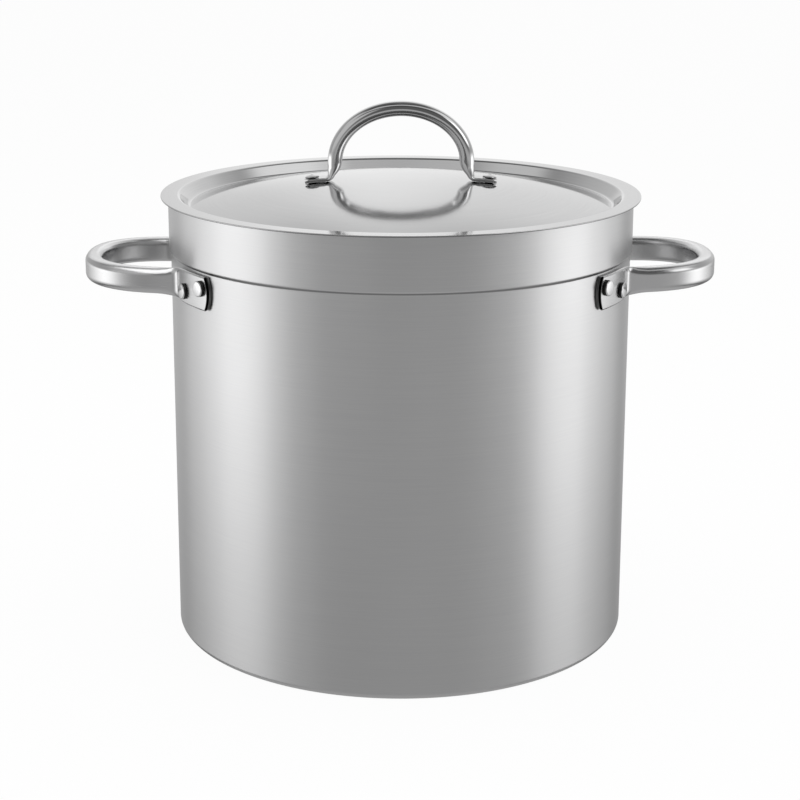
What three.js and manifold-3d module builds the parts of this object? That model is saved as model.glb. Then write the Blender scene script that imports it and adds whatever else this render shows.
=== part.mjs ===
// A stainless steel stockpot with a loose domed lid. Millimetres, +Z up.
// The origin is the centre of the bottom, and the side handles point along +X and -X.
import * as THREE from 'three';
import { mergeVertices } from 'three/addons/utils/BufferGeometryUtils.js';
import Module from 'manifold-3d';

const wasm = await Module();
wasm.setup();

// Pot body, drawn from one sheet
const BODY_INNER_DIAMETER = 300;
const POT_HEIGHT = 292;
const WALL = 1;
const BASE_CORNER_RADIUS = 4;
const BAND_HEIGHT = 34.5;
const BAND_STEP = 1.2;
const BAND_STEP_RISE = 1.4;
const BAND_STEP_RADIUS = 1.2;

// Lid, stamped from one sheet
const LID_SHEET = 1;
const LID_OVERHANG = 4.8;
const LID_MOUTH_CLEARANCE = 5.2;
const GROOVE_DEPTH = 8;
const GROOVE_WALL_RUN = 6;
const GROOVE_RADIUS = 3;
const FLANGE_BEND_RADIUS = 1.8;
const DOME_RISE = 16.7;

// Handles, each a bent oval tube whose ends are pressed flat from the inside and bent out into feet.
// The span is measured between the middles of the two pressed legs, and the lift is how far the
// loop's end rises above its feet.
const FOOT_THICKNESS = 2.6;
const SIDE_HANDLE = {
  tubeThickness: 11.3,
  tubeWidth: 16.5,
  tubeCornerRadius: 5.2,
  span: 109.9,
  reach: 56.4,
  lift: 1.6,
  legLength: 3,
  archFullness: 2.34,
  flattenLength: 18,
  flattenEnd: 7,
  spreadLength: 19,
  bendRadius: 6,
  footLength: 40.2,
  footWidth: 21.8,
  footEndBulge: 3.3,
};
const SIDE_HANDLE_BELOW_BAND = 2.2;
const LID_HANDLE = {
  tubeThickness: 9,
  tubeWidth: 12.6,
  tubeCornerRadius: 4.2,
  span: 96,
  reach: 50.4,
  lift: 0,
  legLength: 9,
  archFullness: 2,
  flattenLength: 11,
  flattenEnd: 6,
  spreadLength: 7,
  bendRadius: 4,
  footLength: 11.5,
  footWidth: 13,
  footEndBulge: 3.4,
};

// Rivets, and where they sit along a foot (measured back from its end)
const RIVET_SHANK_DIAMETER = 5;
const SIDE_RIVET = { headDiameter: 10, headHeight: 2.8, crown: 0.5, tailDiameter: 9, tailHeight: 1.8 };
const LID_RIVET = { headDiameter: 9, headHeight: 2.5, crown: 0.8, tailDiameter: 8, tailHeight: 1.6 };
const SIDE_RIVET_END_MARGIN = 7.2;
const SIDE_RIVET_PITCH = 22.6;
const SIDE_RIVET_STAGGER = 5.8;
const LID_RIVET_END_MARGIN = 5.3;
const RIVET_EDGE_RADIUS = 0.8;

// Fits
const SEAT_GAP = 0.3;
const RIVET_HOLE_CLEARANCE = 0.3;

// Facet counts
const TURN_FACETS = 60;
const RIVET_FACETS = 12;
const FILLET_FACETS = 3;
const DOME_FACETS = 6;
const ARCH_STEPS = 9;
const FLATTEN_STEPS = 4;
const BEND_STEPS = 4;
const FOOT_STEPS = 4;
const FOOT_END_STEPS = 4;
const TUBE_CORNER_FACETS = 2;

// Sizes that follow from the ones above
const bodyRadius = BODY_INNER_DIAMETER / 2 + WALL;
const bandRadius = bodyRadius + BAND_STEP;
const bandBottom = POT_HEIGHT - BAND_HEIGHT;
const mouthRadius = bandRadius - WALL;
const flangeTop = POT_HEIGHT + SEAT_GAP + LID_SHEET;
const flangeRadius = bandRadius + LID_OVERHANG;
const grooveTopRadius = mouthRadius - LID_MOUTH_CLEARANCE - LID_SHEET;
const domeEdgeRadius = grooveTopRadius - GROOVE_WALL_RUN;
const domeTop = flangeTop - GROOVE_DEPTH + DOME_RISE;
const domeRadius = (domeEdgeRadius ** 2 + DOME_RISE ** 2) / (2 * DOME_RISE);
const rivetHoleRadius = RIVET_SHANK_DIAMETER / 2 + RIVET_HOLE_CLEARANCE;

const steel = {
  satinBody: { color: 0xb4b5b6, roughness: 0.34 },
  brightLid: { color: 0xc9cacb, roughness: 0.2 },
  satinHandle: { color: 0xbdbebf, roughness: 0.28 },
  polishedHandle: { color: 0xc4c5c6, roughness: 0.1 },
  rivet: { color: 0xcfd0d1, roughness: 0.14 },
};

const stockpot = new THREE.Group();

function addPiece(name, solid, finish) {
  const material = new THREE.MeshStandardMaterial({ ...finish, metalness: 1 });
  const piece = new THREE.Mesh(toGeometry(solid), material);
  piece.name = name;
  stockpot.add(piece);
}

// A closed mesh becomes a solid: shared corners are merged and collapsed triangles dropped.
function toSolid(geometry) {
  geometry.deleteAttribute('normal');
  geometry.deleteAttribute('uv');
  const merged = mergeVertices(geometry);
  const corners = merged.index.array;
  const triangles = [];
  for (let i = 0; i < corners.length; i += 3) {
    const [a, b, c] = [corners[i], corners[i + 1], corners[i + 2]];
    if (a !== b && b !== c && c !== a) triangles.push(a, b, c);
  }
  const vertProperties = new Float32Array(merged.attributes.position.array);
  const triVerts = new Uint32Array(triangles);
  return new wasm.Manifold(new wasm.Mesh({ numProp: 3, vertProperties, triVerts }));
}

function toGeometry(solid) {
  const mesh = solid.getMesh();
  const geometry = new THREE.BufferGeometry();
  geometry.setAttribute('position', new THREE.BufferAttribute(mesh.vertProperties, 3));
  geometry.setIndex(new THREE.BufferAttribute(mesh.triVerts, 1));
  geometry.computeVertexNormals();
  return geometry;
}

// Turns a profile of (radius, height) points about the Z axis.
function revolve(profile, facets) {
  return new THREE.LatheGeometry(profile, facets).rotateX(Math.PI / 2);
}

// A polyline of { point, fillet } corners with each filleted corner rounded by an arc.
function roundedLine(corners) {
  const points = [];
  corners.forEach(({ point, fillet }, i) => {
    if (!fillet) {
      points.push(point);
      return;
    }
    const back = corners[i - 1].point.clone().sub(point).normalize();
    const ahead = corners[i + 1].point.clone().sub(point).normalize();
    const halfAngle = Math.acos(back.dot(ahead)) / 2;
    const toCentre = back.clone().add(ahead).normalize();
    const centre = point.clone().addScaledVector(toCentre, fillet / Math.sin(halfAngle));
    const setback = fillet / Math.tan(halfAngle);
    const start = point.clone().addScaledVector(back, setback).sub(centre);
    const sweep = (Math.PI - 2 * halfAngle) * Math.sign(back.cross(ahead)) * -1;
    for (let step = 0; step <= FILLET_FACETS; step += 1) {
      const turned = start.clone().rotateAround(new THREE.Vector2(), (sweep * step) / FILLET_FACETS);
      points.push(turned.add(centre));
    }
  });
  return points;
}

// The closed profile of a bent sheet. The corners run from the axis out along one face, and the
// other face lies one sheet thickness to their left.
function sheetProfile(corners, thickness) {
  const lefts = corners.slice(1).map(({ point }, i) => {
    const along = point.clone().sub(corners[i].point).normalize();
    return new THREE.Vector2(-along.y, along.x);
  });
  const offset = corners.map(({ point, fillet }, i) => {
    const before = lefts[Math.max(i - 1, 0)];
    const after = lefts[Math.min(i, lefts.length - 1)];
    const miter = before.clone().add(after).normalize();
    const moved = point.clone().addScaledVector(miter, thickness / miter.dot(after));
    if (i === 0) moved.x = 0;
    const turn = Math.sign(before.cross(after));
    return { point: moved, fillet: fillet && fillet - turn * thickness };
  });
  return [...roundedLine(corners), ...roundedLine(offset).reverse()];
}

const corner = (radius, height, fillet = 0) => ({ point: new THREE.Vector2(radius, height), fillet });

// Flat bottom, rounded foot, straight wall, then a small step out to the plain band below the rim.
function potBody() {
  const profile = sheetProfile([
    corner(0, 0),
    corner(bodyRadius, 0, BASE_CORNER_RADIUS),
    corner(bodyRadius, bandBottom - BAND_STEP_RISE / 2, BAND_STEP_RADIUS),
    corner(bandRadius, bandBottom + BAND_STEP_RISE / 2, BAND_STEP_RADIUS + WALL),
    corner(bandRadius, POT_HEIGHT),
  ], WALL);
  return toSolid(revolve(profile, TURN_FACETS));
}

const domeHeightAt = (radius) => domeTop - domeRadius + Math.sqrt(domeRadius ** 2 - radius ** 2);

// Shallow dome, groove inside the mouth, and a flat flange that rests on the rim. The listed
// corners are the underside, so that the sheet's thickness lies above it.
function lidSheet() {
  const dome = [];
  for (let i = 0; i < DOME_FACETS; i += 1) {
    const radius = (domeEdgeRadius * i) / DOME_FACETS;
    dome.push(corner(radius, domeHeightAt(radius) - LID_SHEET));
  }
  const profile = sheetProfile([
    ...dome,
    corner(domeEdgeRadius, flangeTop - GROOVE_DEPTH - LID_SHEET, GROOVE_RADIUS + LID_SHEET),
    corner(grooveTopRadius + LID_SHEET, flangeTop - LID_SHEET, FLANGE_BEND_RADIUS),
    corner(flangeRadius, flangeTop - LID_SHEET),
  ], LID_SHEET);
  return toSolid(revolve(profile, TURN_FACETS));
}

const smoothstep = (x) => THREE.MathUtils.smoothstep(x, 0, 1);

// The route of half a handle, in its own plane: u runs along the span and w away from the centre
// of the round surface that the feet lie on. It follows the middle of the pressed ends, so the
// thicker tube lies mostly inside it. A station has its place, its heading, its lift, how far along
// it is from the start of the bend (less than zero up the leg) and how far from the foot's tip.
function halfRoute(handle, seatRadius) {
  const footRadius = seatRadius + SEAT_GAP + FOOT_THICKNESS / 2;
  const legAt = handle.span / 2;
  const bendU = legAt + handle.bendRadius;
  const bendW = Math.sqrt((footRadius + handle.bendRadius) ** 2 - bendU ** 2);
  const footStart = Math.atan2(bendU, bendW);
  const footEnd = footStart + handle.footLength / footRadius;
  const bendTurn = Math.PI / 2 - footStart;
  const archBase = bendW + handle.legLength;
  const archTop = seatRadius + handle.reach - FOOT_THICKNESS / 2;
  const archRise = archTop - archBase;
  const fullness = handle.archFullness;
  const route = [];
  const visit = (u, w, headingU, headingW, along, tip = Infinity) => {
    const heading = new THREE.Vector2(headingU, headingW).normalize();
    const lift = (handle.lift * Math.max(w - bendW, 0)) / (archTop - bendW);
    route.push({ place: new THREE.Vector2(u, w), heading, lift, along, tip });
  };
  for (let i = 0; i <= ARCH_STEPS; i += 1) {
    const turn = (Math.PI / 2) * (i / ARCH_STEPS);
    const out = Math.sin(turn) ** (2 / fullness);
    const up = Math.cos(turn) ** (2 / fullness);
    const w = archBase + archRise * up;
    const heading = [up ** (fullness - 1) / archRise, -(out ** (fullness - 1)) / legAt];
    visit(legAt * out, w, ...heading, bendW - w);
  }
  for (let i = 1; i < FLATTEN_STEPS; i += 1) {
    const w = THREE.MathUtils.lerp(archBase, bendW, i / FLATTEN_STEPS);
    visit(legAt, w, 0, -1, bendW - w);
  }
  for (let i = 0; i < BEND_STEPS; i += 1) {
    const turn = bendTurn * (i / BEND_STEPS);
    const u = bendU - handle.bendRadius * Math.cos(turn);
    const w = bendW - handle.bendRadius * Math.sin(turn);
    visit(u, w, Math.sin(turn), -Math.cos(turn), handle.bendRadius * turn);
  }
  const visitFoot = (angle) => {
    const spot = [footRadius * Math.sin(angle), footRadius * Math.cos(angle)];
    const along = handle.bendRadius * bendTurn + (angle - footStart) * footRadius;
    visit(...spot, Math.cos(angle), -Math.sin(angle), along, (footEnd - angle) * footRadius);
  };
  const bulgeStart = footEnd - handle.footEndBulge / footRadius;
  for (let i = 0; i < FOOT_STEPS; i += 1) {
    visitFoot(THREE.MathUtils.lerp(footStart, bulgeStart, i / FOOT_STEPS));
  }
  for (let i = 0; i <= FOOT_END_STEPS; i += 1) {
    visitFoot(footEnd - (footEnd - bulgeStart) * (1 - i / FOOT_END_STEPS) ** 2);
  }
  return { route, footRadius, footEnd };
}

// The other half is the mirror image, walked back from its foot to the top.
function fullRoute(half) {
  const mirrored = half.slice(1).reverse().map((station) => ({
    ...station,
    place: new THREE.Vector2(-station.place.x, station.place.y),
    heading: new THREE.Vector2(station.heading.x, -station.heading.y),
  }));
  return [...mirrored, ...half];
}

// Outline of a tube with flat sides and rounded corners, as (across, along width) points. Its
// outer face stays level with the foot's, whatever the thickness.
function tubeSection(thickness, width, cornerRadius) {
  const radius = Math.min(cornerRadius, thickness / 2);
  const middle = (FOOT_THICKNESS - thickness) / 2;
  const points = [];
  [[1, 1], [-1, 1], [-1, -1], [1, -1]].forEach(([outward, upward], quarter) => {
    for (let i = 0; i <= TUBE_CORNER_FACETS; i += 1) {
      const turn = (Math.PI / 2) * (quarter + i / TUBE_CORNER_FACETS);
      const across = middle + outward * (thickness / 2 - radius) + radius * Math.cos(turn);
      const edge = upward * (width / 2 - radius) + radius * Math.sin(turn);
      points.push(new THREE.Vector2(across, edge));
    }
  });
  return points;
}

// Pressed flat, the tube gets thinner through the bend and spreads wider until past it. The end of
// a foot is a shallow arc.
function sectionAt(handle, { along, tip }) {
  const flat = smoothstep((along + handle.flattenLength) / (handle.flattenLength + handle.flattenEnd));
  const spread = smoothstep((along + handle.flattenLength) / (handle.flattenLength + handle.spreadLength));
  const thickness = THREE.MathUtils.lerp(handle.tubeThickness, FOOT_THICKNESS, flat);
  let width = THREE.MathUtils.lerp(handle.tubeWidth, handle.footWidth, spread);
  if (tip < handle.footEndBulge) {
    const bulge = handle.footEndBulge;
    const endRadius = ((width / 2) ** 2 + bulge ** 2) / (2 * bulge);
    width = 2 * Math.sqrt(endRadius ** 2 - (endRadius - tip) ** 2);
  }
  return tubeSection(thickness, Math.max(width, thickness), handle.tubeCornerRadius);
}

// Skins rings of points and closes both ends.
function loft(rings) {
  const size = rings[0].length;
  const positions = rings.flat().flatMap((point) => point.toArray());
  const indices = [];
  for (let ring = 0; ring + 1 < rings.length; ring += 1) {
    for (let i = 0; i < size; i += 1) {
      const a = ring * size + i;
      const b = ring * size + ((i + 1) % size);
      indices.push(a, b + size, b, a, a + size, b + size);
    }
  }
  const last = (rings.length - 1) * size;
  for (let i = 1; i + 1 < size; i += 1) {
    indices.push(0, i, i + 1, last, last + i + 1, last + i);
  }
  const geometry = new THREE.BufferGeometry();
  geometry.setAttribute('position', new THREE.Float32BufferAttribute(positions, 3));
  geometry.setIndex(indices);
  return geometry;
}

// Sweeps the flattening tube along its route. The frame's columns are the span, the width and the
// outward direction, and its place is the centre of the round surface.
function handleTube(handle, half, frame) {
  const rings = fullRoute(half).map((station) => sectionAt(handle, station).map(({ x, y }) => {
    const u = station.place.x - station.heading.y * x;
    const w = station.place.y + station.heading.x * x;
    return new THREE.Vector3(u, y + station.lift, w).applyMatrix4(frame);
  }));
  return toSolid(loft(rings));
}

// Where a rivet goes through a foot: its axis points out of the round surface, and its zero height
// is the outside of the foot.
function rivetFrame(frame, foot, angle, offset) {
  const outside = foot.footRadius + FOOT_THICKNESS / 2;
  const place = new THREE.Vector3(outside * Math.sin(angle), offset, outside * Math.cos(angle));
  const local = new THREE.Matrix4().makeRotationY(angle).setPosition(place);
  return frame.clone().multiply(local);
}

// From the outside of the foot, through the sheet, to the rivet's tail.
const rivetGrip = (sheet) => FOOT_THICKNESS + SEAT_GAP + sheet + SEAT_GAP;

// Low round head outside, shank through foot and sheet, and a smaller closed-up tail inside.
function rivet(size, sheet) {
  const shank = RIVET_SHANK_DIAMETER / 2;
  const tailTop = -rivetGrip(sheet);
  const profile = roundedLine([
    corner(0, tailTop - size.tailHeight),
    corner(size.tailDiameter / 2, tailTop - size.tailHeight, RIVET_EDGE_RADIUS),
    corner(size.tailDiameter / 2, tailTop),
    corner(shank, tailTop),
    corner(shank, SEAT_GAP),
    corner(size.headDiameter / 2, SEAT_GAP),
    corner(size.headDiameter / 2, size.headHeight - size.crown, RIVET_EDGE_RADIUS),
    corner(0, size.headHeight),
  ]);
  return toSolid(revolve(profile, RIVET_FACETS));
}

// A cutter for the rivet's hole through the foot and the sheet under it.
function rivetHole(sheet) {
  const depth = 2 * rivetGrip(sheet);
  const cutter = new THREE.CylinderGeometry(rivetHoleRadius, rivetHoleRadius, depth, RIVET_FACETS);
  return toSolid(cutter.rotateX(Math.PI / 2));
}

const place = (solid, frame) => solid.transform(frame.toArray());

// A handle lies in a plane through the axis of the round surface that it is riveted to. The frame
// turns (span, width, outward) into the pot's own directions.
function handleFrame(span, width, outward, centre) {
  return new THREE.Matrix4().makeBasis(span, width, outward).setPosition(centre);
}

let body = potBody();
let lid = lidSheet();

const sideFoot = halfRoute(SIDE_HANDLE, bodyRadius);
const sideHandleHeight = bandBottom - SIDE_HANDLE_BELOW_BAND - SIDE_HANDLE.footWidth / 2;
const endRivetAngle = sideFoot.footEnd - SIDE_RIVET_END_MARGIN / sideFoot.footRadius;
const legRivetAngle = endRivetAngle - SIDE_RIVET_PITCH / sideFoot.footRadius;
const sideRivets = [
  { label: 'end', angle: endRivetAngle, offset: SIDE_RIVET_STAGGER / 2 },
  { label: 'leg', angle: legRivetAngle, offset: -SIDE_RIVET_STAGGER / 2 },
];

for (const { side, facing } of [{ side: 'right', facing: 1 }, { side: 'left', facing: -1 }]) {
  const frame = handleFrame(
    new THREE.Vector3(0, facing, 0),
    new THREE.Vector3(0, 0, 1),
    new THREE.Vector3(facing, 0, 0),
    new THREE.Vector3(0, 0, sideHandleHeight),
  );
  let handle = handleTube(SIDE_HANDLE, sideFoot.route, frame);
  for (const foot of [1, -1]) {
    const depth = foot * facing < 0 ? 'front' : 'back';
    for (const { label, angle, offset } of sideRivets) {
      const at = rivetFrame(frame, sideFoot, foot * angle, offset);
      const hole = place(rivetHole(WALL), at);
      handle = handle.subtract(hole);
      body = body.subtract(hole);
      addPiece(`rivet_${side}_${depth}_${label}`, place(rivet(SIDE_RIVET, WALL), at), steel.rivet);
    }
  }
  addPiece(`side_handle_${side}`, handle, steel.satinHandle);
}

const lidFoot = halfRoute(LID_HANDLE, domeRadius);
const lidRivetAngle = lidFoot.footEnd - LID_RIVET_END_MARGIN / lidFoot.footRadius;
const lidFrame = handleFrame(
  new THREE.Vector3(1, 0, 0),
  new THREE.Vector3(0, 1, 0),
  new THREE.Vector3(0, 0, 1),
  new THREE.Vector3(0, 0, domeTop - domeRadius),
);
let lidHandle = handleTube(LID_HANDLE, lidFoot.route, lidFrame);
for (const { side, foot } of [{ side: 'right', foot: 1 }, { side: 'left', foot: -1 }]) {
  const at = rivetFrame(lidFrame, lidFoot, foot * lidRivetAngle, 0);
  const hole = place(rivetHole(LID_SHEET), at);
  lidHandle = lidHandle.subtract(hole);
  lid = lid.subtract(hole);
  addPiece(`lid_rivet_${side}`, place(rivet(LID_RIVET, LID_SHEET), at), steel.rivet);
}
addPiece('lid_handle', lidHandle, steel.polishedHandle);
addPiece('lid', lid, steel.brightLid);
addPiece('pot_body', body, steel.satinBody);

export default stockpot;
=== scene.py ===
# A stainless steel stockpot with a loose domed lid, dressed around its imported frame. Metres, +Z up.
import math
from types import SimpleNamespace

import bmesh
import bpy
from mathutils import Matrix, Vector


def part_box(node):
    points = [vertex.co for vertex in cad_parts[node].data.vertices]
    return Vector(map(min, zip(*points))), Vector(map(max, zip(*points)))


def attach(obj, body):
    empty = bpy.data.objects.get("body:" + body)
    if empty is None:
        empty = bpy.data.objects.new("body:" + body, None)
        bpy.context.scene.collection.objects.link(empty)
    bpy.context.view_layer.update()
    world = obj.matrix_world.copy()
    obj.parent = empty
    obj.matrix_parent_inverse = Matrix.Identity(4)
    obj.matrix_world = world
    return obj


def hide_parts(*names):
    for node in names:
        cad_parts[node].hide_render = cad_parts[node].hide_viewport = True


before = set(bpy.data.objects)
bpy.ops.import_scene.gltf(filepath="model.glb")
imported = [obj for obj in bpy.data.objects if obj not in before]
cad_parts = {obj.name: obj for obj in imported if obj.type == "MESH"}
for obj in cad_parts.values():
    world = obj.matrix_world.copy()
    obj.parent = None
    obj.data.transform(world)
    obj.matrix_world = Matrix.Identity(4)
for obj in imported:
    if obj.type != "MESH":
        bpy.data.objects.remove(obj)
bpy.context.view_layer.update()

# Camera: a long lens a little above the pot and a touch left of its middle, and not quite level.
# It looks down at the middle of the pot, and the shift sets the pot in the frame.
CAMERA_AIM = Vector((0, 0, 0.1923))
CAMERA_DISTANCE = 1.2914
CAMERA_RISE = math.radians(14.016)
CAMERA_SWING = math.radians(-1.35)
CAMERA_ROLL = math.radians(0.17)

camera = bpy.data.objects.new("camera", bpy.data.cameras.new("camera"))
camera.data.sensor_width = 36
camera.data.lens = 86.7
camera.data.shift_x = -0.0006
camera.data.shift_y = -0.075
camera.matrix_world = (Matrix.Translation(CAMERA_AIM) @ Matrix.Rotation(CAMERA_SWING, 4, "Z")
                       @ Matrix.Rotation(math.pi / 2 - CAMERA_RISE, 4, "X")
                       @ Matrix.Rotation(CAMERA_ROLL, 4, "Z") @ Matrix.Translation((0, 0, CAMERA_DISTANCE)))
bpy.context.scene.collection.objects.link(camera)
bpy.context.scene.camera = camera
bpy.context.scene.view_settings.view_transform = "Standard"


# Pot body: one deep-drawn sheet of satin stainless steel with a flat bottom and a rounded foot.
# A small step a little below the rim leads out to a slightly wider band, and the outside is brushed
# on the lathe, so its fine lines run round it.
WALL = 0.001
FOOT_CORNER_RADIUS = 0.004
BAND_HEIGHT = 0.0345
BAND_STEP = 0.0012
BAND_STEP_RISE = 0.0014
BAND_STEP_RADIUS = 0.0012
# Shade painted into the wall's colour: a dark line along the step, and darker towards the foot.
BAND_STEP_PAINTED_SHADE = 0.45
FOOT_SHADE_TOP = 0.24
FOOT_SHADE_BOTTOM = -0.02
FOOT_PAINTED_SHADE = 0.87
SHEET_EDGE_RADIUS = 0.0003
MERGE_DISTANCE = 1e-6
TURN_STEPS = 240
FILLET_STEPS = 7
LINE_SHARE = 0.75
STREAK_RATIO = 0.3
LINE_DEPTH = 0.00005

_, body_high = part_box("pot_body")
band_radius = body_high.x
rim_height = body_high.z
wall_radius = band_radius - BAND_STEP
band_bottom = rim_height - BAND_HEIGHT


def lay_wire(mesh, places):
    """Lays a wire through (radius, height) places in the XZ plane and gives its vertices."""
    verts = [mesh.verts.new((radius, 0, height)) for radius, height in places]
    for pair in zip(verts, verts[1:]):
        mesh.edges.new(pair)
    return verts


def round_corner(mesh, vert, radius):
    """Rounds one corner of a wire to a radius."""
    back, ahead = (edge.other_vert(vert).co - vert.co for edge in vert.link_edges)
    setback = radius / math.tan(back.angle(ahead) / 2)
    bmesh.ops.bevel(mesh, geom=[vert], offset=setback, affect="VERTICES",
                    segments=FILLET_STEPS, profile=0.5, material=-1)


def turn_wire(mesh, steps):
    """Turns a wire once about the Z axis into a closed skin."""
    bmesh.ops.spin(mesh, geom=mesh.verts[:] + mesh.edges[:], cent=(0, 0, 0), axis=(0, 0, 1),
                   angle=math.tau, steps=steps, use_merge=True)
    bmesh.ops.remove_doubles(mesh, verts=mesh.verts[:], dist=MERGE_DISTANCE)
    bmesh.ops.recalc_face_normals(mesh, faces=mesh.faces[:])


def map_brushing(mesh, along, around):
    """Maps U along a profile and V around it, so that the polish knows which way its lines run."""
    layer = mesh.loops.layers.uv.new("brushing")
    for face in mesh.faces:
        start = around(face.loops[0])
        for loop in face.loops:
            swing = math.remainder(around(loop) - start, math.tau)
            loop[layer].uv = (along(loop), start + swing)


def turned_along(loop):
    place = loop.vert.co
    return place.xy.length + place.z


def turned_around(loop):
    place = loop.vert.co
    if place.xy.length < 1e-5:
        place = loop.face.calc_center_median()
    return math.atan2(place.y, place.x)


def make_piece(name, mesh, *materials):
    """Turns a finished mesh into a smooth-shaded object at the origin."""
    data = bpy.data.meshes.new(name)
    mesh.to_mesh(data)
    mesh.free()
    data.shade_smooth()
    for material in materials:
        data.materials.append(material)
    piece = bpy.data.objects.new(name, data)
    bpy.context.scene.collection.objects.link(piece)
    return piece


def keep_flats(piece):
    """Keeps the flats shading flat beside their rounded edges."""
    flats = piece.modifiers.new("flats", "WEIGHTED_NORMAL")
    flats.mode = "FACE_AREA"
    flats.weight = 100
    flats.keep_sharp = True


def thicken_sheet(piece, thickness):
    """Gives an outer skin its sheet thickness inwards and eases its cut edge."""
    sheet = piece.modifiers.new("sheet", "SOLIDIFY")
    sheet.thickness = thickness
    sheet.offset = -1
    sheet.use_even_offset = True
    eased = piece.modifiers.new("eased edge", "BEVEL")
    eased.width = SHEET_EDGE_RADIUS
    eased.segments = 3
    eased.limit_method = "ANGLE"
    eased.angle_limit = math.radians(60)
    keep_flats(piece)


def add_node(tree, kind, sockets=(), **settings):
    """Adds a shader node, sets it and feeds its sockets with links or plain values."""
    made = tree.nodes.new("ShaderNode" + kind)
    for name, value in settings.items():
        setattr(made, name, value)
    for name, value in dict(sockets).items():
        if isinstance(value, bpy.types.NodeSocket):
            tree.links.new(value, made.inputs[name])
        else:
            made.inputs[name].default_value = value
    return made


def math_node(tree, operation, *values):
    return add_node(tree, "Math", enumerate(values), operation=operation).outputs[0]


def spread(tree, value, low, high):
    """Maps the middle of a noise, where nearly all its values lie, to a range."""
    return add_node(tree, "MapRange", {"Value": value, "From Min": 0.3, "From Max": 0.7,
                                       "To Min": low, "To Max": high}).outputs["Result"]


def line_group(name, line_vector):
    """A shader group of polish lines. Its vector comes from line_vector(tree, sweep, fineness)."""
    tree = bpy.data.node_groups.new(name, "ShaderNodeTree")
    for socket in ("Fineness", "Sweep"):
        tree.interface.new_socket(socket, in_out="INPUT", socket_type="NodeSocketFloat")
    for socket in ("Lines", "Streaks", "Clouds"):
        tree.interface.new_socket(socket, in_out="OUTPUT", socket_type="NodeSocketFloat")
    inputs = tree.nodes.new("NodeGroupInput").outputs
    outputs = tree.nodes.new("NodeGroupOutput").inputs
    for socket, ratio in (("Lines", 1.0), ("Streaks", STREAK_RATIO)):
        sweep = math_node(tree, "MULTIPLY", inputs["Sweep"], ratio)
        fineness = math_node(tree, "MULTIPLY", inputs["Fineness"], ratio)
        noise = add_node(tree, "TexNoise", {"Vector": line_vector(tree, sweep, fineness), "Scale": 1.0,
                                            "Detail": 3.0, "Roughness": 0.6})
        tree.links.new(noise.outputs["Fac"], outputs[socket])
    place = add_node(tree, "TexCoord").outputs["Object"]
    clouds = add_node(tree, "TexNoise", {"Vector": place, "Scale": 11.0, "Detail": 3.0})
    tree.links.new(clouds.outputs["Fac"], outputs["Clouds"])
    return tree


def object_place(tree):
    """The X, Y and Z of the shaded point, and its distance from the axis."""
    place = add_node(tree, "SeparateXYZ", {"Vector": add_node(tree, "TexCoord").outputs["Object"]}).outputs
    flat = add_node(tree, "CombineXYZ", {"X": place["X"], "Y": place["Y"]}).outputs["Vector"]
    radius = add_node(tree, "VectorMath", {0: flat}, operation="LENGTH").outputs["Value"]
    return place, radius


def turned_vector(tree, sweep, fineness):
    """Runs slowly round the axis and fast along the profile, on walls and flats alike."""
    place, radius = object_place(tree)
    along = math_node(tree, "ADD", radius, place["Z"])
    return add_node(tree, "CombineXYZ", {
        "X": math_node(tree, "MULTIPLY", place["X"], sweep),
        "Y": math_node(tree, "MULTIPLY", place["Y"], sweep),
        "Z": math_node(tree, "MULTIPLY", along, fineness),
    }).outputs["Vector"]


turned_lines = line_group("turned_lines", turned_vector)


def polished_steel(name, lines, finish):
    """Stainless steel with polish lines in its colour, gloss and surface."""
    material = bpy.data.materials.new(name)
    material.use_nodes = True
    tree = material.node_tree
    steel = tree.nodes["Principled BSDF"]
    steel.inputs["Metallic"].default_value = 1
    steel.inputs["Anisotropic"].default_value = finish.anisotropy
    tangent = add_node(tree, "Tangent", direction_type="UV_MAP", uv_map="brushing")
    tree.links.new(tangent.outputs["Tangent"], steel.inputs["Tangent"])
    group = add_node(tree, "Group", node_tree=lines)
    group.inputs["Fineness"].default_value = finish.fineness
    group.inputs["Sweep"].default_value = finish.sweep
    marks = group.outputs
    tone = math_node(tree, "ADD", math_node(tree, "MULTIPLY", marks["Lines"], LINE_SHARE),
                     math_node(tree, "MULTIPLY", marks["Streaks"], 1 - LINE_SHARE))
    colour = add_node(tree, "Mix", {"Factor": spread(tree, tone, 0, 1), "A": finish.dark,
                                    "B": finish.light}, data_type="RGBA")
    tree.links.new(colour.outputs["Result"], steel.inputs["Base Color"])
    gloss = math_node(tree, "ADD", spread(tree, tone, -finish.gloss_change, finish.gloss_change),
                      spread(tree, marks["Clouds"], finish.roughness - finish.smudge,
                             finish.roughness + finish.smudge))
    tree.links.new(gloss, steel.inputs["Roughness"])
    bump = add_node(tree, "Bump", {"Height": marks["Lines"], "Strength": finish.bump,
                                   "Distance": LINE_DEPTH})
    tree.links.new(bump.outputs["Normal"], steel.inputs["Normal"])
    return material


def paint_shade(material, mask, share):
    """Paints shade into a steel's colour, taking it down to a share of itself where the mask is 1."""
    tree = material.node_tree
    colour = tree.nodes["Principled BSDF"].inputs["Base Color"]
    shade = add_node(tree, "MapRange", {"Value": mask, "To Min": 1.0, "To Max": share}).outputs["Result"]
    shaded_colour = add_node(tree, "VectorMath", {0: colour.links[0].from_socket, "Scale": shade},
                      operation="SCALE")
    tree.links.new(shaded_colour.outputs["Vector"], colour)


def soft_step(tree, value, low, high):
    """A mask that rises from 0 at one value to 1 at another."""
    return add_node(tree, "MapRange", {"Value": value, "From Min": low, "From Max": high},
                    interpolation_type="SMOOTHSTEP").outputs["Result"]


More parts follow.
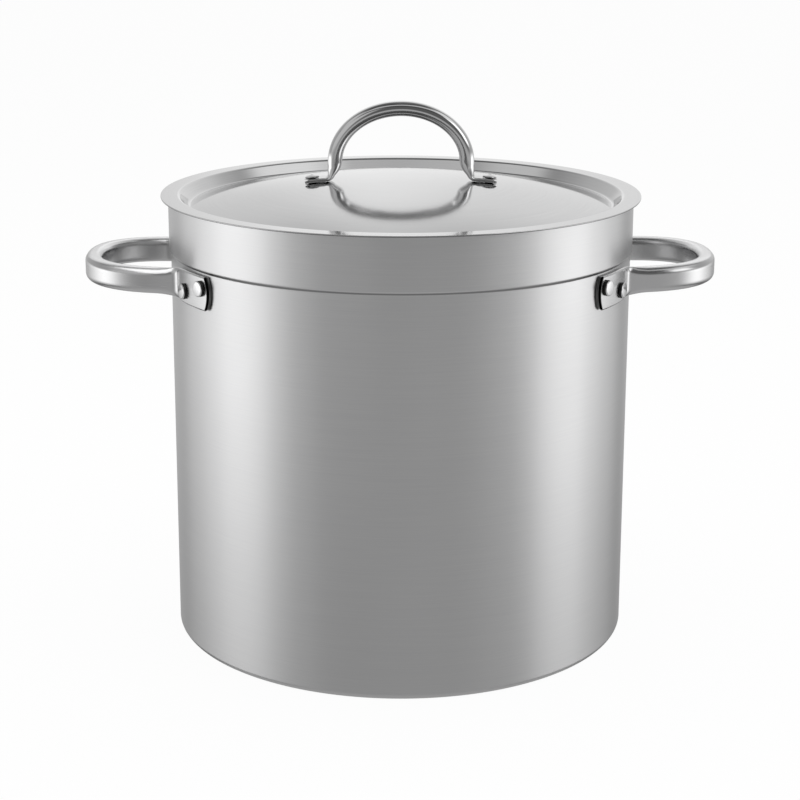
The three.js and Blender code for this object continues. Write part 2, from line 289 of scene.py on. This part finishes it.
satin_wall_steel = polished_steel("satin_wall_steel", turned_lines, SimpleNamespace(
    dark=(0.60, 0.60, 0.605, 1), light=(0.64, 0.64, 0.64, 1), anisotropy=0.7,
    roughness=0.31, gloss_change=0.02, smudge=0.012, fineness=2200.0, sweep=24.0, bump=0.08))
tree = satin_wall_steel.node_tree
height = object_place(tree)[0]["Z"]
# Painted shade: a dark line along the step, and the wall darkening towards the foot.
from_step = math_node(tree, "ABSOLUTE", math_node(tree, "SUBTRACT", height, band_bottom))
paint_shade(satin_wall_steel, soft_step(tree, from_step, BAND_STEP_RISE * 0.7, BAND_STEP_RISE * 0.3),
       BAND_STEP_PAINTED_SHADE)
paint_shade(satin_wall_steel, soft_step(tree, height, FOOT_SHADE_TOP, FOOT_SHADE_BOTTOM), FOOT_PAINTED_SHADE)

wall = bmesh.new()
_, foot, step_start, step_end, _ = lay_wire(wall, [
    (0, 0),
    (wall_radius, 0),
    (wall_radius, band_bottom - BAND_STEP_RISE / 2),
    (band_radius, band_bottom + BAND_STEP_RISE / 2),
    (band_radius, rim_height),
])
round_corner(wall, foot, FOOT_CORNER_RADIUS)
round_corner(wall, step_start, BAND_STEP_RADIUS)
round_corner(wall, step_end, BAND_STEP_RADIUS + WALL)
turn_wire(wall, TURN_STEPS)
map_brushing(wall, turned_along, turned_around)
pot = make_piece("drawn_pot", wall, satin_wall_steel)
thicken_sheet(pot, WALL)
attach(pot, "pot")
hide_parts("pot_body")


# Lid: one stamped sheet of stainless steel, brighter than the pot. A flat flange rests on the rim,
# a groove drops inside the mouth, and the middle is a shallow dome with finely turned lines.
LID_SHEET = 0.001
SEAT_GAP = 0.0003
LID_MOUTH_CLEARANCE = 0.0052
GROOVE_DEPTH = 0.008
GROOVE_WALL_RUN = 0.006
GROOVE_RADIUS = 0.003
FLANGE_BEND_RADIUS = 0.0028
CUT_EDGE_START = 0.0001
CUT_EDGE_END = 0.0005
CUT_EDGE_PAINTED_SHADE = 0.35
DOME_STEPS = 26

_, lid_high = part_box("lid")
flange_radius = lid_high.x
dome_top = lid_high.z
flange_top = rim_height + SEAT_GAP + LID_SHEET
groove_top_radius = band_radius - WALL - LID_MOUTH_CLEARANCE - LID_SHEET
dome_edge_radius = groove_top_radius - GROOVE_WALL_RUN
dome_edge_height = flange_top - GROOVE_DEPTH
dome_rise = dome_top - dome_edge_height
dome_radius = (dome_edge_radius ** 2 + dome_rise ** 2) / (2 * dome_rise)
dome_centre = Vector((0, 0, dome_top - dome_radius))

bright_lid_steel = polished_steel("bright_lid_steel", turned_lines, SimpleNamespace(
    dark=(0.66, 0.66, 0.665, 1), light=(0.715, 0.715, 0.715, 1), anisotropy=0.6,
    roughness=0.1, gloss_change=0.01, smudge=0.012, fineness=1700.0, sweep=18.0, bump=0.05))
tree = bright_lid_steel.node_tree
place, radius = object_place(tree)
# Painted shade: the flange's outer cut edge is darkened, for the shade under its overhang.
flange_edge_shade = math_node(
    tree, "MULTIPLY",
    soft_step(tree, radius, flange_radius - CUT_EDGE_END, flange_radius - CUT_EDGE_START),
    soft_step(tree, place["Z"], flange_top - CUT_EDGE_START, flange_top - CUT_EDGE_END))
paint_shade(bright_lid_steel, flange_edge_shade, CUT_EDGE_PAINTED_SHADE)

stamping = bmesh.new()
dome_edge, flange_bend, _ = lay_wire(stamping, [
    (dome_edge_radius, dome_edge_height),
    (groove_top_radius, flange_top),
    (flange_radius, flange_top),
])
bmesh.ops.spin(stamping, geom=[dome_edge], cent=dome_centre, axis=(0, 1, 0),
               angle=-math.asin(dome_edge_radius / dome_radius), steps=DOME_STEPS)
round_corner(stamping, dome_edge, GROOVE_RADIUS)
round_corner(stamping, flange_bend, FLANGE_BEND_RADIUS)
turn_wire(stamping, TURN_STEPS)
map_brushing(stamping, turned_along, turned_around)
lid = make_piece("stamped_lid", stamping, bright_lid_steel)
thicken_sheet(lid, LID_SHEET)
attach(lid, "lid")
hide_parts("lid")


# Side handles: oval stainless tube bent into a wide loop. Both ends are pressed flat from the inside,
# bent outwards and curved to the wall as feet, trimmed to a shallow arc that leaves the tube's end
# open as a slit with painted shade, a near-black inside, and fixed by two rivets each just below the band.
FOOT_THICKNESS = 0.0026
SLIT_RIM = 0.0003
SLIT_DEPTH = 0.005
SLIT_TAPER = 0.00005
LEAST_FLAT = 1e-5
SHARP_ANGLE = math.radians(50)
CORNER_POINTS = 8
FACE_POINTS = 11
ARCH_STEPS = 40
LEG_STEPS = 10
BEND_STEPS = 10
FOOT_STEPS = 22

side_low, side_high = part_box("side_handle_right")
side_tube = SimpleNamespace(
    thickness=0.0113, width=0.0165, corner_radius=0.0044,
    outermost=side_high.x, lift=0.0016, fullness=2.34, leg=0.05495, leg_length=0.003, bend_radius=0.006,
    flatten_length=0.012, flatten_end=0.006, pinch=1, unroll_length=0.005, spread_length=0.019,
    seat_radius=wall_radius, foot_length=0.0402, foot_width=side_high.z - side_low.z, tip_bulge=0.0033)


def ease(x):
    x = min(max(x, 0), 1)
    return x * x * (3 - 2 * x)


def foot_radius_of(tube):
    return tube.seat_radius + SEAT_GAP + FOOT_THICKNESS / 2


def tube_stations(tube):
    """Half a handle's route along its pressed sheet, from the middle of the loop to the tip of a foot.

    A station is its distance from the start of the bend, and a function that gives the place of a
    point of the section from (across the sheet, along its width).
    """
    foot_radius = foot_radius_of(tube)
    bend_u = tube.leg + tube.bend_radius
    bend_w = math.sqrt((foot_radius + tube.bend_radius) ** 2 - bend_u ** 2)
    foot_start = math.atan2(bend_u, bend_w)
    bend_turn = math.pi / 2 - foot_start
    arch_base = bend_w + tube.leg_length
    arch_top = tube.outermost - FOOT_THICKNESS / 2
    arch_rise = arch_top - arch_base
    tip_radius = ((tube.foot_width / 2) ** 2 + tube.tip_bulge ** 2) / (2 * tube.tip_bulge)

    def level(u, w, heading_u, heading_w):
        heading = Vector((heading_u, heading_w)).normalized()
        lift = tube.lift * max(w - bend_w, 0) / (arch_top - bend_w)
        return lambda across, edge: Vector((u - heading.y * across, edge + lift, w + heading.x * across))

    def curved(share):
        def placed(across, edge):
            trim = tip_radius - math.sqrt(tip_radius ** 2 - edge ** 2)
            angle = foot_start + share * (tube.foot_length - trim) / foot_radius
            radius = foot_radius + across
            return Vector((radius * math.sin(angle), edge, radius * math.cos(angle)))
        return placed

    for i in range(ARCH_STEPS + 1):
        turn = math.pi / 2 * i / ARCH_STEPS
        out = math.sin(turn) ** (2 / tube.fullness)
        up = max(math.cos(turn), 0) ** (2 / tube.fullness)
        w = arch_base + arch_rise * up
        heading = up ** (tube.fullness - 1) / arch_rise, -out ** (tube.fullness - 1) / tube.leg
        yield bend_w - w, level(tube.leg * out, w, *heading)
    for i in range(1, LEG_STEPS):
        w = arch_base + (bend_w - arch_base) * i / LEG_STEPS
        yield bend_w - w, level(tube.leg, w, 0, -1)
    for i in range(BEND_STEPS):
        turn = bend_turn * i / BEND_STEPS
        u = bend_u - tube.bend_radius * math.cos(turn)
        w = bend_w - tube.bend_radius * math.sin(turn)
        yield tube.bend_radius * turn, level(u, w, math.sin(turn), -math.cos(turn))
    for i in range(FOOT_STEPS + 1):
        share = i / FOOT_STEPS
        yield tube.bend_radius * bend_turn + tube.foot_length * share, curved(share)


def ring_plan():
    """A tube's section as points of (flat across, corner across, flat edge, corner edge) shares."""
    points = []
    for quarter, (outward, upward) in enumerate(((1, 1), (-1, 1), (-1, -1), (1, -1))):
        for i in range(CORNER_POINTS):
            turn = math.pi / 2 * (quarter + i / (CORNER_POINTS - 1))
            points.append((outward, math.cos(turn), upward, math.sin(turn)))
        if outward != upward:
            points += [(outward, outward, upward * (1 - 2 * i / (FACE_POINTS + 1)), 0)
                       for i in range(1, FACE_POINTS + 1)]
    return points


def bend_tube(tube, placing):
    """Draws a ring of the section along the route, cuts the slit in the foot's end and mirrors it."""
    mesh = bmesh.new()
    plan = ring_plan()
    ring = bmesh.ops.create_circle(mesh, segments=len(plan), radius=1)["verts"]
    number = {vert: i for i, vert in enumerate(ring)}
    edges = mesh.edges[:]
    travelled = {}
    length = 0
    last_place = None
    for along, placed in tube_stations(tube):
        if last_place:
            grown = bmesh.ops.extrude_edge_only(mesh, edges=edges)["geom"]
            edges = [part for part in grown if isinstance(part, bmesh.types.BMEdge)]
            last_ring = set(ring)
            ring = [part for part in grown if isinstance(part, bmesh.types.BMVert)]
            for vert in ring:
                source = next(edge.other_vert(vert) for edge in vert.link_edges
                              if edge.other_vert(vert) in last_ring)
                number[vert] = number[source]
            length += (placed(0, 0) - last_place).length
        last_place = placed(0, 0)
        flat = ease((along + tube.flatten_length) / (tube.flatten_length + tube.flatten_end)) ** tube.pinch
        spreading = ease((along + tube.flatten_length) / (tube.flatten_length + tube.spread_length))
        thickness = tube.thickness + (FOOT_THICKNESS - tube.thickness) * flat
        width = tube.width + (tube.foot_width - tube.width) * spreading
        radius = min(tube.corner_radius, thickness / 2 - LEAST_FLAT)
        unrolled = ease((along - tube.flatten_end) / tube.unroll_length)
        roll = tube.corner_radius + (radius - tube.corner_radius) * unrolled
        for vert in ring:
            flat_across, corner_across, flat_edge, corner_edge = plan[number[vert]]
            across = ((FOOT_THICKNESS - thickness) / 2
                      + flat_across * (thickness / 2 - radius) + corner_across * radius)
            vert.co = placed(across, flat_edge * (width / 2 - roll) + corner_edge * roll)
            travelled[vert] = length
    map_brushing(mesh, lambda loop: travelled[loop.vert],
                 lambda loop: math.tau * number[loop.vert] / len(plan))
    end = bmesh.ops.contextual_create(mesh, geom=edges)["faces"]
    bmesh.ops.recalc_face_normals(mesh, faces=mesh.faces[:])
    bmesh.ops.inset_region(mesh, faces=end, thickness=SLIT_RIM, use_even_offset=True)
    sides = bmesh.ops.inset_region(mesh, faces=end, thickness=SLIT_TAPER, depth=-SLIT_DEPTH,
                                   use_even_offset=True)
    # The slit's faces take the near-black steel of painted shade.
    for face in end + sides["faces"]:
        face.material_index = 1
    bmesh.ops.mirror(mesh, geom=mesh.verts[:] + mesh.edges[:] + mesh.faces[:], axis="X",
                     merge_dist=MERGE_DISTANCE)
    bmesh.ops.transform(mesh, matrix=placing, verts=mesh.verts[:])
    bmesh.ops.recalc_face_normals(mesh, faces=mesh.faces[:])
    return mesh


def drawn_vector(tree, sweep, fineness):
    """Runs slowly along a tube and fast around it."""
    brushing = add_node(tree, "UVMap", uv_map="brushing").outputs["UV"]
    place = add_node(tree, "SeparateXYZ", {"Vector": brushing}).outputs
    return add_node(tree, "CombineXYZ", {
        "X": math_node(tree, "MULTIPLY", place["X"], sweep),
        "Y": math_node(tree, "MULTIPLY", place["Y"], fineness),
    }).outputs["Vector"]


def keep_corners(piece):
    """Keeps a solid's sharp corners and its flats."""
    piece.data.set_sharp_from_angle(angle=SHARP_ANGLE)
    keep_flats(piece)


drawn_lines = line_group("drawn_lines", drawn_vector)
satin_tube_steel = polished_steel("satin_tube_steel", drawn_lines, SimpleNamespace(
    dark=(0.55, 0.55, 0.555, 1), light=(0.61, 0.61, 0.61, 1), anisotropy=0.3,
    roughness=0.24, gloss_change=0.03, smudge=0.02, fineness=26.0, sweep=60.0, bump=0.05))
# Painted shade: a near-black steel for the insides of the tubes' open ends and the sides of the rivet
# heads.
painted_shade_steel = polished_steel("painted_shade_steel", drawn_lines, SimpleNamespace(
    dark=(0.03, 0.03, 0.03, 1), light=(0.06, 0.06, 0.06, 1), anisotropy=0.0,
    roughness=0.45, gloss_change=0.03, smudge=0.03, fineness=26.0, sweep=60.0, bump=0.05))

side_height = (side_low.z + side_high.z) / 2
for side, facing in (("right", 1), ("left", -1)):
    placing = Matrix(((0, 0, facing, 0), (facing, 0, 0, 0), (0, 1, 0, side_height), (0, 0, 0, 1)))
    handle = make_piece(f"tube_handle_{side}", bend_tube(side_tube, placing), satin_tube_steel, painted_shade_steel)
    keep_corners(handle)
    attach(handle, "pot")
    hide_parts(f"side_handle_{side}")


# Side rivets: solid stainless rivets with low flat heads outside and smaller closed-up tails inside.
# Each is driven square through the foot and the wall, and the sides of its head are painted near-black as
# shade.
RIVET_STEPS = 48
RIVET_EDGE_RADIUS = 0.0008
RIVET_SHANK_RADIUS = 0.0025
RIVET_SIDE_SLOPE = 0.3

side_rivet = SimpleNamespace(
    head_radius=0.005, head_height=0.0028, crown=0.0005, tail_radius=0.0045, tail_height=0.0018,
    grip=FOOT_THICKNESS + WALL + 2 * SEAT_GAP)

bright_rivet_steel = polished_steel("bright_rivet_steel", turned_lines, SimpleNamespace(
    dark=(0.68, 0.68, 0.685, 1), light=(0.74, 0.74, 0.74, 1), anisotropy=0.0,
    roughness=0.16, gloss_change=0.02, smudge=0.02, fineness=900.0, sweep=900.0, bump=0.04))


def pointed(place, direction, axis):
    """The matrix of a thing at a place with one of its axes along a direction."""
    return Matrix.Translation(place) @ direction.to_track_quat(axis, "Y").to_matrix().to_4x4()


def drive_rivet(size, placing):
    """Turns a rivet with the outside of the foot at its zero height, and puts it in its hole."""
    mesh = bmesh.new()
    _, tail_edge, _, _, _, _, head_edge, _ = lay_wire(mesh, [
        (0, -size.grip - size.tail_height),
        (size.tail_radius, -size.grip - size.tail_height),
        (size.tail_radius, -size.grip),
        (RIVET_SHANK_RADIUS, -size.grip),
        (RIVET_SHANK_RADIUS, SEAT_GAP),
        (size.head_radius, SEAT_GAP),
        (size.head_radius, size.head_height - size.crown),
        (0, size.head_height),
    ])
    round_corner(mesh, tail_edge, RIVET_EDGE_RADIUS)
    round_corner(mesh, head_edge, RIVET_EDGE_RADIUS)
    turn_wire(mesh, RIVET_STEPS)
    map_brushing(mesh, turned_along, turned_around)
    # The head's sides take the near-black steel of painted shade.
    for face in mesh.faces:
        face.material_index = int(abs(face.normal.z) < RIVET_SIDE_SLOPE)
    bmesh.ops.transform(mesh, matrix=placing, verts=mesh.verts[:])
    return mesh


def fix_rivet(name, mesh, body, node):
    """Makes a rivet's piece with polished faces and sides in painted shade."""
    rivet = make_piece(name, mesh, bright_rivet_steel, painted_shade_steel)
    keep_corners(rivet)
    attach(rivet, body)
    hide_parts(node)


foot_outside = foot_radius_of(side_tube) + FOOT_THICKNESS / 2
for side in ("right", "left"):
    for depth in ("front", "back"):
        for end in ("end", "leg"):
            node = f"rivet_{side}_{depth}_{end}"
            low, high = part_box(node)
            middle = (low + high) / 2
            outward = Vector((middle.x, middle.y, 0)).normalized()
            placing = pointed(outward * foot_outside + Vector((0, 0, middle.z)), outward, "Z")
            fix_rivet(f"wall_rivet_{side}_{depth}_{end}", drive_rivet(side_rivet, placing), "pot", node)


# Lid handle: a slimmer oval tube arched over the middle of the lid and polished brighter.
# Its feet follow the dome, and one rivet holds each.
handle_low, handle_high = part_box("lid_handle")
lid_tube = SimpleNamespace(
    thickness=0.0095, width=0.0126, corner_radius=0.0044, outermost=dome_radius + handle_high.z - dome_top,
    lift=0, fullness=2, leg=0.0466, leg_length=0.009, bend_radius=0.0025,
    flatten_length=0.0115, flatten_end=0.0041, pinch=2, unroll_length=0.002, spread_length=0.007,
    seat_radius=dome_radius, foot_length=0.0144, foot_width=handle_high.y - handle_low.y, tip_bulge=0.0034)
lid_rivet = SimpleNamespace(
    head_radius=0.0045, head_height=0.0025, crown=0.0013, tail_radius=0.004, tail_height=0.0016,
    grip=FOOT_THICKNESS + LID_SHEET + 2 * SEAT_GAP)

mirror_tube_steel = polished_steel("mirror_tube_steel", drawn_lines, SimpleNamespace(
    dark=(0.64, 0.64, 0.645, 1), light=(0.70, 0.70, 0.70, 1), anisotropy=0.0,
    roughness=0.09, gloss_change=0.015, smudge=0.01, fineness=16.0, sweep=50.0, bump=0.03))

arch = bend_tube(lid_tube, Matrix.Translation(dome_centre))
lid_handle = make_piece("tube_handle_lid", arch, mirror_tube_steel, painted_shade_steel)
keep_corners(lid_handle)
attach(lid_handle, "lid")
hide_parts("lid_handle")

lid_foot_outside = foot_radius_of(lid_tube) + FOOT_THICKNESS / 2
for side in ("right", "left"):
    low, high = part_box(f"lid_rivet_{side}")
    outward = ((low + high) / 2 - dome_centre).normalized()
    placing = pointed(dome_centre + outward * lid_foot_outside, outward, "Z")
    fix_rivet(f"dome_rivet_{side}", drive_rivet(lid_rivet, placing), "lid", f"lid_rivet_{side}")


# Studio: a plain white floor and a white room, which the camera sees as white. The metal sees bright
# walls at its two sides, a sweep behind, soft panels and the unlit end where the camera stands. One
# softbox overhead lights everything, and two flagged ones light only the side handles.
FLOOR_SIZE = 12.0
FLOOR_GLOW = 0.96
CEILING_POWER = 26.0
NEAR_POWER = 1.5
FAR_POWER = 1.5

floor_mesh = bmesh.new()
bmesh.ops.create_grid(floor_mesh, x_segments=1, y_segments=1, size=FLOOR_SIZE / 2)
floor_paint = bpy.data.materials.new("white_floor")
floor_paint.use_nodes = True
tree = floor_paint.node_tree
paint = tree.nodes["Principled BSDF"]
paint.inputs["Base Color"].default_value = (0.9, 0.9, 0.9, 1)
paint.inputs["Roughness"].default_value = 0.9
seen = add_node(tree, "LightPath").outputs["Is Camera Ray"]
glow = math_node(tree, "MULTIPLY", seen, FLOOR_GLOW)
white = add_node(tree, "Emission", {"Color": (1, 1, 1, 1), "Strength": 1.0}).outputs["Emission"]
mixed = add_node(tree, "MixShader", {0: glow, 1: paint.outputs["BSDF"], 2: white})
tree.links.new(mixed.outputs["Shader"], tree.nodes["Material Output"].inputs["Surface"])
floor = make_piece("floor", floor_mesh, floor_paint)
floor.visible_glossy = False

room = bpy.data.worlds.new("white_room")
room.use_nodes = True
room_tree = room.node_tree
looking = add_node(room_tree, "TexCoord").outputs["Generated"]
toward = add_node(room_tree, "SeparateXYZ", {"Vector": looking}).outputs
swing = math_node(room_tree, "ARCTAN2", toward["X"], math_node(room_tree, "MULTIPLY", toward["Y"], -1.0))
rise = math_node(room_tree, "ARCSINE", toward["Z"])


def smooth_range(value, low, high, to_low, to_high):
    """Eases from one level to another while an angle goes over a range of degrees."""
    return add_node(room_tree, "MapRange", {
        "Value": value, "From Min": math.radians(low), "From Max": math.radians(high),
        "To Min": to_low, "To Max": to_high}, interpolation_type="SMOOTHSTEP").outputs["Result"]


def degree_ramp(stops):
    """A ramp of greys by (degrees to the right of the front, level)."""
    around = math_node(room_tree, "ADD", math_node(room_tree, "DIVIDE", swing, math.tau), 0.5)
    made = add_node(room_tree, "ValToRGB", {"Fac": around})
    made.color_ramp.interpolation = "EASE"
    elements = made.color_ramp.elements
    while len(elements) < len(stops):
        elements.new(1)
    for element, (degrees, level) in zip(elements, stops):
        element.position = degrees / 360 + 0.5
        element.color = (level, level, level, 1)
    return made.outputs["Color"]


def scaled(colour, factor):
    made = add_node(room_tree, "VectorMath", {0: colour, "Scale": factor}, operation="SCALE")
    return made.outputs["Vector"]


def mixed_in(factor, under, over):
    made = add_node(room_tree, "Mix", {"Factor": factor, "A": under, "B": over}, data_type="RGBA")
    return made.outputs["Result"]


def panel_span(angle, middle, half, softness):
    """A mask that is 1 within half a panel's size of its middle, all in degrees."""
    away = math_node(room_tree, "SUBTRACT", angle, math.radians(middle))
    return smooth_range(math_node(room_tree, "ABSOLUTE", away), half - softness, half + softness, 1.0, 0.0)


def hang_panel(under, panel):
    """Hangs a soft-edged panel in the room."""
    mask = math_node(room_tree, "MULTIPLY",
                     panel_span(swing, panel.swing, panel.swing_half, panel.softness),
                     panel_span(rise, panel.rise, panel.rise_half, panel.softness))
    return mixed_in(mask, under, (panel.level, panel.level, panel.level, 1))


side_walls = degree_ramp([
    (-180, 0.95), (-166, 0.66), (-144, 0.66), (-124, 1.20), (-108, 1.70), (-95, 2.20), (-84, 2.28),
    (-74, 2.06), (-64, 1.38), (-52, 0.75), (-38, 0.43), (-24, 0.38), (0, 0.49), (12, 0.52), (24, 0.51),
    (38, 0.56), (52, 0.64), (64, 1.10), (74, 1.82), (84, 2.12), (95, 2.12), (108, 1.54), (124, 1.06),
    (144, 0.50), (166, 0.66), (180, 0.95)])
wall_feet = degree_ramp([
    (-180, 0.3), (-124, 0.12), (-95, 0.12), (-74, 0.12), (-45, 0.45), (0, 0.5), (45, 0.45), (74, 0.14),
    (95, 0.14), (124, 0.14), (180, 0.3)])
sinking = add_node(room_tree, "MapRange", {
    "Value": rise, "From Min": math.radians(-8), "From Max": math.radians(-34)}).outputs["Result"]
low_walls = mixed_in(sinking, side_walls, wall_feet)
low_walls = mixed_in(smooth_range(rise, -33, -47, 0.0, 1.0), low_walls, (0.55, 0.55, 0.55, 1))
high_walls = degree_ramp([
    (-180, 0.96), (-172, 0.74), (-160, 0.60), (-140, 0.55), (-125, 0.52), (-100, 0.46), (-75, 0.40),
    (-40, 0.20), (0, 0.12), (34, 0.14), (75, 0.45), (100, 0.50), (125, 0.62), (140, 0.74), (160, 0.82),
    (172, 0.83), (180, 0.96)])
high_walls = scaled(high_walls, smooth_range(rise, 20, 62, 1.0, 0.22))
studio = mixed_in(smooth_range(rise, -6, 4, 0.0, 1.0), low_walls, high_walls)
for panel in (
        SimpleNamespace(swing=-46, swing_half=32, rise=20, rise_half=20, softness=7, level=0.66),
        SimpleNamespace(swing=0, swing_half=60, rise=61, rise_half=9, softness=5, level=0.6),
        SimpleNamespace(swing=-80, swing_half=30, rise=48, rise_half=12, softness=8, level=0.66),
        SimpleNamespace(swing=80, swing_half=32, rise=50, rise_half=12, softness=8, level=0.95),
        SimpleNamespace(swing=60, swing_half=17, rise=25, rise_half=15, softness=4, level=1.8)):
    studio = hang_panel(studio, panel)
seen = add_node(room_tree, "LightPath").outputs["Is Camera Ray"]
room_tree.links.new(mixed_in(seen, studio, (1, 1, 1, 1)), room_tree.nodes["Background"].inputs["Color"])
bpy.context.scene.world = room


def hang_softbox(name, place, aim, size, energy):
    """Hangs an area lamp, out of the picture, that points at its aim."""
    softbox = bpy.data.objects.new(name, bpy.data.lights.new(name, "AREA"))
    softbox.data.shape = "RECTANGLE"
    softbox.data.size, softbox.data.size_y = size
    softbox.data.energy = energy
    softbox.matrix_world = pointed(place, aim - place, "-Z")
    softbox.visible_camera = False
    bpy.context.scene.collection.objects.link(softbox)
    return softbox


def light_only(softbox, *pieces):
    """Keeps a softbox to some pieces, as flags and cards do in a studio."""
    lit = bpy.data.collections.new(softbox.name)
    for piece in pieces:
        lit.objects.link(bpy.data.objects[piece])
    softbox.light_linking.receiver_collection = lit


ceiling = hang_softbox("ceiling_softbox", Vector((0, 0.1, 2.1)), Vector((0, 0.1, 0)), (1.8, 1.2),
                       CEILING_POWER)
ceiling.visible_glossy = False
near = hang_softbox("near_softbox", Vector((-0.28, -0.42, 0.66)), Vector((-0.28, -0.42, 0)), (0.36, 0.9),
                    NEAR_POWER)
light_only(near, "tube_handle_left")
far = hang_softbox("far_softbox", Vector((0, 0.55, 0.74)), Vector((0, 0, 0.25)), (1.2, 0.8), FAR_POWER)
light_only(far, "tube_handle_left", "tube_handle_right")
